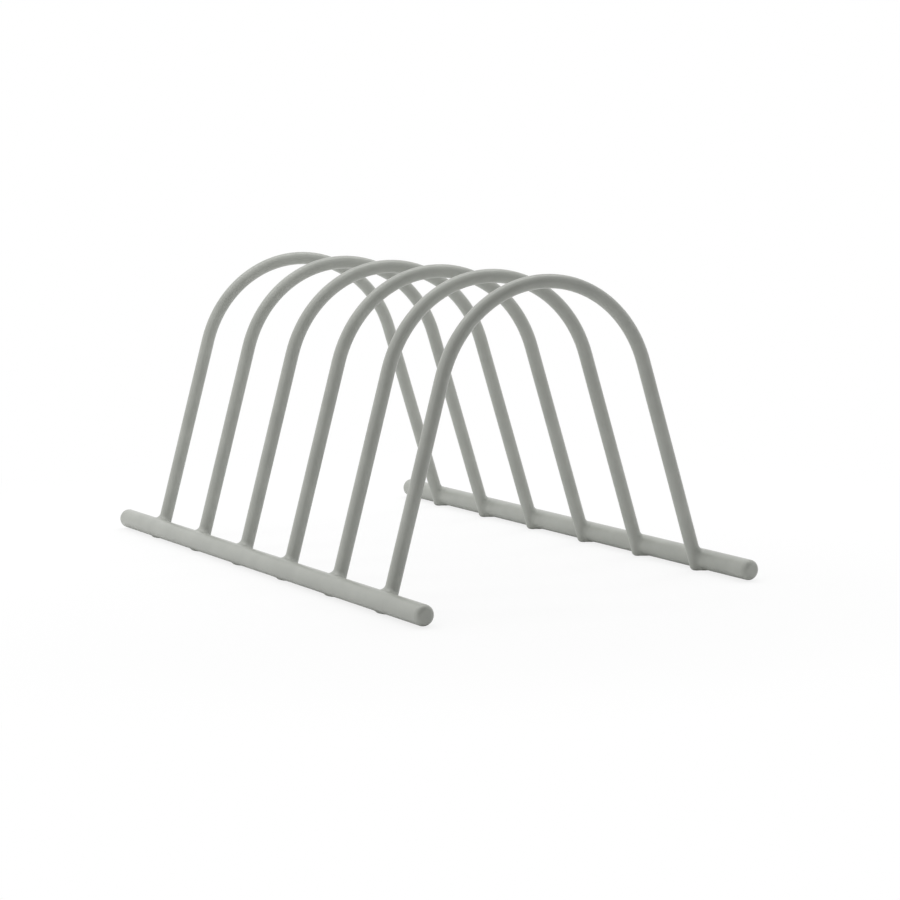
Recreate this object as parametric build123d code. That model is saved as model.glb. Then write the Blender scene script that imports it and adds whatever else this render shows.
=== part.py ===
from build123d import *
import math
import os

# Letter rack: a row of bent wire arches, let into the inner sides of two straight base rails and welded there.
# X runs along the rails, Y across them and Z up. The origin is on the desk, under the middle of the rack.

# Driving dimensions in millimetres, measured over the coating
WIRE_DIAMETER = 4.1        # wire of the arches
RAIL_DIAMETER = 6.0        # rod of the base rails
RAIL_SPACING = 108.8       # between the axes of the two rails
RAIL_OVERHANG = 24.3       # from the middle of an end arch to the end of a rail
RAIL_END_ROUNDING = 1.6    # round edge of a rail's flat end
ARCH_COUNT = 6             # one more than the letter slots between them
LETTER_GAP = 25.9          # clear gap between neighbouring arches
OVERALL_HEIGHT = 90.5      # from the desk to the top of the arches
BEND_RADIUS = 35.4         # round top of an arch, to the wire's axis
SEAT_DEPTH = 2.75          # how deep a leg is let into the side of its rail
FOOT_DROP = 0.3            # how far the feet stand out below the rails
FOOT_ROUNDING = 1.2        # round edge of a leg's flat foot
WELD_FILLET = 2.0          # hollow radius of a weld in the corner between leg and rail
WELD_DESK_GAP = 0.2        # height of a weld's lower end above the desk

# Rails and the row of arches
wire_radius = WIRE_DIAMETER / 2
rail_radius = RAIL_DIAMETER / 2
rail_y = RAIL_SPACING / 2
rail_z = FOOT_DROP + rail_radius
arch_pitch = LETTER_GAP + WIRE_DIAMETER
row_length = (ARCH_COUNT - 1) * arch_pitch
rail_length = row_length + 2 * RAIL_OVERHANG
arch_places = [Pos(index * arch_pitch - row_length / 2, 0, 0) for index in range(ARCH_COUNT)]

# A leg leaves the bend as a straight tangent and passes its rail on the inner side.
# Its lean from the vertical follows from the bend, the rail and the offset between leg and rail axes.
leg_offset = rail_radius + wire_radius - SEAT_DEPTH
top_z = OVERALL_HEIGHT - wire_radius
bend_z = top_z - BEND_RADIUS
bend_above_rail = bend_z - rail_z
bend_to_rail = math.hypot(rail_y, bend_above_rail)
lean = math.acos((BEND_RADIUS + leg_offset) / bend_to_rail) - math.atan2(bend_above_rail, rail_y)
shoulder_y = BEND_RADIUS * math.cos(lean)
shoulder_z = bend_z + BEND_RADIUS * math.sin(lean)

FRONT, BACK = -1, 1
desk = Plane.XY


def leg_axis(side, height):
    """Point on the axis of a leg of the middle plane, at a height above the desk."""
    return Vector(0, side * (shoulder_y + (shoulder_z - height) * math.tan(lean)), height)


def rod(start, end, radius):
    """Plain round rod between two points."""
    path = Line(start, end)
    return sweep(Plane(origin=start, z_dir=path % 0) * Circle(radius), path)


def leg_past_rail(side):
    """Straight length of a leg of the middle plane, run well past its rail both ways."""
    reach = 2 * (WELD_FILLET + RAIL_DIAMETER)
    return rod(leg_axis(side, -reach), leg_axis(side, reach), wire_radius)


def rail(side):
    """Base rail: a straight rod with rounded ends and a slanted seat in its inner side for each leg."""
    end = Vector(rail_length / 2, side * rail_y, rail_z)
    start = Vector(-rail_length / 2, side * rail_y, rail_z)
    bar = rod(start, end, rail_radius)
    bar = fillet(bar.edges().filter_by(GeomType.CIRCLE), RAIL_END_ROUNDING)
    seat = leg_past_rail(side)
    return bar - [place * seat for place in arch_places]


def bent_wire():
    """Wire of one arch in the middle plane: leg, bend and leg, run on below the desk."""
    run_on = -WIRE_DIAMETER
    front_shoulder = leg_axis(FRONT, shoulder_z)
    back_shoulder = leg_axis(BACK, shoulder_z)
    path = (
        Line(leg_axis(FRONT, run_on), front_shoulder)
        + ThreePointArc(front_shoulder, (0, 0, top_z), back_shoulder)
        + Line(back_shoulder, leg_axis(BACK, run_on))
    )
    section = Plane(origin=path @ 0, z_dir=path % 0) * Circle(wire_radius)
    return sweep(section, path)


def arch():
    """One arch, with its feet cut flat on the desk and rounded."""
    wire = split(bent_wire(), bisect_by=desk, keep=Keep.TOP)
    feet = wire.edges().group_by(Axis.Z)[0]
    return fillet(feet, FOOT_ROUNDING)


def weld():
    """Weld of a front leg: a hollow fillet all round the crease between leg and rail, clear of the desk."""
    leg = leg_past_rail(FRONT)
    rail_middle = Vector(0, FRONT * rail_y, rail_z)
    along = Vector(arch_pitch / 2, 0, 0)
    bar = rod(rail_middle - along, rail_middle + along, rail_radius)
    joint = leg + bar
    crease = joint.edges().filter_by(GeomType.BSPLINE)
    bead = fillet(crease, WELD_FILLET) - leg - bar
    return split(bead, bisect_by=desk.offset(WELD_DESK_GAP), keep=Keep.TOP)


def save(shape, name):
    """Write one piece to its own file."""
    export_step(shape, f"parts/{name}.step")


os.makedirs("parts", exist_ok=True)
save(rail(FRONT), "front_rail")
save(rail(BACK), "back_rail")
one_arch = arch()
front_weld = weld()
back_weld = mirror(front_weld, about=Plane.XZ)
for number, place in enumerate(arch_places, start=1):
    save(place * one_arch, f"arch_{number}")
    save(place * front_weld, f"weld_front_{number}")
    save(place * back_weld, f"weld_back_{number}")
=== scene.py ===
import math

import bpy
from mathutils import Euler, Matrix, Vector


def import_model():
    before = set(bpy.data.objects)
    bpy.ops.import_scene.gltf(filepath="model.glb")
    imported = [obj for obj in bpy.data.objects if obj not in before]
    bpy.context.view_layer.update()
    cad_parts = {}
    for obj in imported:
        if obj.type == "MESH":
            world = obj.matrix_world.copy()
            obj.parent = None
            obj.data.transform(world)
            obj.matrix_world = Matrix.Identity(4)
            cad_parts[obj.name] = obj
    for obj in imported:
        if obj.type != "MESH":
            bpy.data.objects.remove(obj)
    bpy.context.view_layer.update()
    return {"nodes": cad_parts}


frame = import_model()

# Letter rack of powder-coated wire, on a white floor in soft even light.
# Metres, with X along the rails, Y across them and Z up from the desk.

# Powder coat, in linear colours
COAT_LIGHT = (0.385, 0.396, 0.364, 1.0)
COAT_DARK = (0.337, 0.347, 0.318, 1.0)
COAT_MOTTLE_SIZE = 0.008      # soft cloudy patches
COAT_MOTTLE_DETAIL = 3.0      # finer layers within the patches
COAT_GRAIN_SIZE = 0.0011      # grains of powder that melted together
COAT_GRAIN_DETAIL = 2.0       # finer layers within the grains
COAT_GRAIN_SHARE = 0.15       # how far the grains colour the coat, and the patches the rest
COAT_PEEL_DEPTH = 0.00001     # height of the fine dimples
COAT_ROUGHNESS = (0.285, 0.33)

# Values that the materials share
NOISE_RANGE = (0.3, 0.7)      # most of a noise lies in here
FULL_RANGE = (0.0, 1.0)
WHITE = (1.0, 1.0, 1.0, 1.0)

# Camera, in front of the rack and towards one end of its rails
CAMERA_AZIMUTH = math.radians(59.334)
CAMERA_ELEVATION = math.radians(7.947)
CAMERA_ROLL = math.radians(-1.102)
CAMERA_DISTANCE = 0.76628
CAMERA_AIM = Vector((0.007747, 0.008172, 0.032422))
CAMERA_LENS = 99.247          # millimetres, on a sensor 36 mm wide

# Studio: an even white surround, a dark card where the camera looks in, and a long lamp above
SURROUND_LEVEL = 1.07         # light that it gives, while it is seen as plain white
FLOOR_RADIUS = 6.0
FLOOR_SIDES = 96
FLOOR_ALBEDO = 0.85
SHADOW_STRENGTH = 0.2         # share of the floor's shading that the camera sees
SHADOW_RADIUS = 0.11          # the shading is seen up to here
SHADOW_FADE = 0.12            # and runs out into plain white over this distance
CARD_PLACE = Vector((0.32, -0.10, 0.20))
CARD_WIDTH = 0.52
CARD_HEIGHT = 0.38
CARD_SHADE = 0.02             # nearly black
STRIP_PLACE = Vector((-0.22, 0.05, 0.88))
STRIP_LENGTH = 1.4
STRIP_WIDTH = 0.18
STRIP_LEVEL = 0.36            # about the share of plain white that it gives a white card at the rack


def grey(level):
    """Neutral colour of this level."""
    return (level, level, level, 1.0)


def new_material(name):
    """Empty node material, with its tree and its output."""
    material = bpy.data.materials.new(name)
    material.use_nodes = True
    tree = material.node_tree
    tree.nodes.clear()
    return material, tree, tree.nodes.new("ShaderNodeOutputMaterial")


def matte_shader(tree, level):
    """Plain matte surface of a neutral colour."""
    matte = tree.nodes.new("ShaderNodeBsdfDiffuse")
    matte.inputs["Color"].default_value = grey(level)
    return matte.outputs["BSDF"]


def noise(tree, size, detail):
    """Noise in the rack's own frame, with patches of about this size in metres."""
    place = tree.nodes.new("ShaderNodeTexCoord")
    texture = tree.nodes.new("ShaderNodeTexNoise")
    texture.inputs["Scale"].default_value = 1 / size
    texture.inputs["Detail"].default_value = detail
    tree.links.new(place.outputs["Object"], texture.inputs["Vector"])
    return texture.outputs["Fac"]


def map_range(tree, value, source, target, blend="LINEAR"):
    """Map a value from one range to another, and hold it at the ends."""
    node = tree.nodes.new("ShaderNodeMapRange")
    node.interpolation_type = blend
    node.inputs["From Min"].default_value, node.inputs["From Max"].default_value = source
    node.inputs["To Min"].default_value, node.inputs["To Max"].default_value = target
    tree.links.new(value, node.inputs["Value"])
    return node.outputs["Result"]


def combine(tree, operation, first, second):
    """One value out of two, by the named operation."""
    node = tree.nodes.new("ShaderNodeMath")
    node.operation = operation
    for value, socket in zip((first, second), node.inputs):
        tree.links.new(value, socket)
    return node.outputs["Value"]


def colour_sockets(sockets):
    """Those sockets of a mix node that carry colours."""
    return [socket for socket in sockets if socket.type == "RGBA"]


def powder_coat():
    """Grey powder coat: cloudy colour, fine grain and the dimples of a melted powder."""
    material, tree, output = new_material("powder_coat")
    coat = tree.nodes.new("ShaderNodeBsdfPrincipled")
    tree.links.new(coat.outputs["BSDF"], output.inputs["Surface"])
    mottle = noise(tree, COAT_MOTTLE_SIZE, COAT_MOTTLE_DETAIL)
    grain = noise(tree, COAT_GRAIN_SIZE, COAT_GRAIN_DETAIL)

    # Colour between dark and light, from patches and grains together
    shade = tree.nodes.new("ShaderNodeMix")
    shade.inputs["Factor"].default_value = COAT_GRAIN_SHARE
    tree.links.new(map_range(tree, mottle, NOISE_RANGE, FULL_RANGE), shade.inputs["A"])
    tree.links.new(map_range(tree, grain, NOISE_RANGE, FULL_RANGE), shade.inputs["B"])
    colour = tree.nodes.new("ShaderNodeMix")
    colour.data_type = "RGBA"
    dark, light = colour_sockets(colour.inputs)
    dark.default_value = COAT_DARK
    light.default_value = COAT_LIGHT
    tree.links.new(shade.outputs["Result"], colour.inputs["Factor"])
    (between,) = colour_sockets(colour.outputs)
    tree.links.new(between, coat.inputs["Base Color"])

    # Sheen and dimples, from the grains alone
    tree.links.new(map_range(tree, grain, NOISE_RANGE, COAT_ROUGHNESS), coat.inputs["Roughness"])
    dimples = tree.nodes.new("ShaderNodeBump")
    dimples.inputs["Distance"].default_value = COAT_PEEL_DEPTH
    tree.links.new(grain, dimples.inputs["Height"])
    tree.links.new(dimples.outputs["Normal"], coat.inputs["Normal"])
    return material


def ray_kinds(tree):
    """Two values that are 1 or 0: for the camera's own view, and for views by way of another surface."""
    path = tree.nodes.new("ShaderNodeLightPath")
    glossy, clear = path.outputs["Is Glossy Ray"], path.outputs["Is Transmission Ray"]
    return path.outputs["Is Camera Ray"], combine(tree, "MAXIMUM", glossy, clear)


def floor_material():
    """White floor: shaded near the rack, where the camera sees it lightened, and plain white beyond."""
    material, tree, output = new_material("floor_white")
    white = tree.nodes.new("ShaderNodeEmission")
    white.inputs["Color"].default_value = WHITE

    # How much plain white covers the shading, at each distance from the middle of the rack
    place = tree.nodes.new("ShaderNodeTexCoord")
    length = tree.nodes.new("ShaderNodeVectorMath")
    length.operation = "LENGTH"
    tree.links.new(place.outputs["Object"], length.inputs[0])
    distance = length.outputs["Value"]
    fade = (SHADOW_RADIUS, SHADOW_RADIUS + SHADOW_FADE)
    for_camera = map_range(tree, distance, fade, (1 - SHADOW_STRENGTH, 1.0), "SMOOTHSTEP")
    for_indirect = map_range(tree, distance, fade, FULL_RANGE, "SMOOTHSTEP")

    camera_ray, indirect_ray = ray_kinds(tree)
    whiteness = combine(
        tree,
        "MAXIMUM",
        combine(tree, "MULTIPLY", camera_ray, for_camera),
        combine(tree, "MULTIPLY", indirect_ray, for_indirect),
    )
    mixed = tree.nodes.new("ShaderNodeMixShader")
    share, under, over = mixed.inputs
    tree.links.new(whiteness, share)
    tree.links.new(matte_shader(tree, FLOOR_ALBEDO), under)
    tree.links.new(white.outputs["Emission"], over)
    tree.links.new(mixed.outputs["Shader"], output.inputs["Surface"])
    return material


def floor():
    """Round white floor under the rack."""
    bpy.ops.mesh.primitive_circle_add(vertices=FLOOR_SIDES, radius=FLOOR_RADIUS, fill_type="NGON")
    disc = bpy.context.object
    disc.name = "floor"
    disc.data.materials.append(floor_material())


def world():
    """Even white light all round, which is also the backdrop."""
    surround = bpy.data.worlds.new("studio")
    bpy.context.scene.world = surround
    surround.use_nodes = True
    tree = surround.node_tree
    background = tree.nodes["Background"]
    background.inputs["Color"].default_value = WHITE
    seen = combine(tree, "MAXIMUM", *ray_kinds(tree))
    strength = map_range(tree, seen, FULL_RANGE, (SURROUND_LEVEL, 1.0))
    tree.links.new(strength, background.inputs["Strength"])


def dark_card():
    """Dark upright card that the camera looks through: it gives the wires their shade."""
    material, tree, output = new_material("card_black")
    tree.links.new(matte_shader(tree, CARD_SHADE), output.inputs["Surface"])
    upright = (0.0, math.pi / 2, 0.0)
    bpy.ops.mesh.primitive_plane_add(size=1.0, location=CARD_PLACE, rotation=upright)
    card = bpy.context.object
    card.name = "dark_card"
    card.scale = (CARD_HEIGHT, CARD_WIDTH, 1.0)
    card.data.materials.append(material)
    card.visible_camera = False


def strip_lamp():
    """Long lamp above the far end of the rack, for the light line along the tops of the wires."""
    lamp = bpy.data.lights.new("strip", "AREA")
    lamp.shape = "RECTANGLE"
    lamp.size = STRIP_LENGTH
    lamp.size_y = STRIP_WIDTH
    # Power at which the lamp alone would light a white card at the rack to plain white
    full_power = math.pi ** 2 * STRIP_PLACE.length_squared
    lamp.energy = STRIP_LEVEL * full_power
    holder = bpy.data.objects.new("strip", lamp)
    holder.location = STRIP_PLACE
    holder.rotation_euler = STRIP_PLACE.to_track_quat("Z", "Y").to_euler()
    bpy.context.scene.collection.objects.link(holder)


def camera():
    """Camera at the photograph's place."""
    lens = bpy.data.cameras.new("camera")
    lens.lens = CAMERA_LENS
    view = bpy.data.objects.new("camera", lens)
    turn = Euler((math.pi / 2 - CAMERA_ELEVATION, 0.0, CAMERA_AZIMUTH)).to_matrix()
    turn = turn @ Matrix.Rotation(CAMERA_ROLL, 3, "Z")
    back = turn @ Vector((0.0, 0.0, 1.0))
    view.matrix_world = Matrix.Translation(CAMERA_AIM + CAMERA_DISTANCE * back) @ turn.to_4x4()
    bpy.context.scene.collection.objects.link(view)
    bpy.context.scene.camera = view


def dress(node, material):
    """Give a piece of the rack its finish."""
    node.data.materials.clear()
    node.data.materials.append(material)


coat = powder_coat()
for node in frame["nodes"].values():
    dress(node, coat)

floor()
world()
dark_card()
strip_lamp()
camera()
bpy.context.scene.view_settings.view_transform = "Standard"
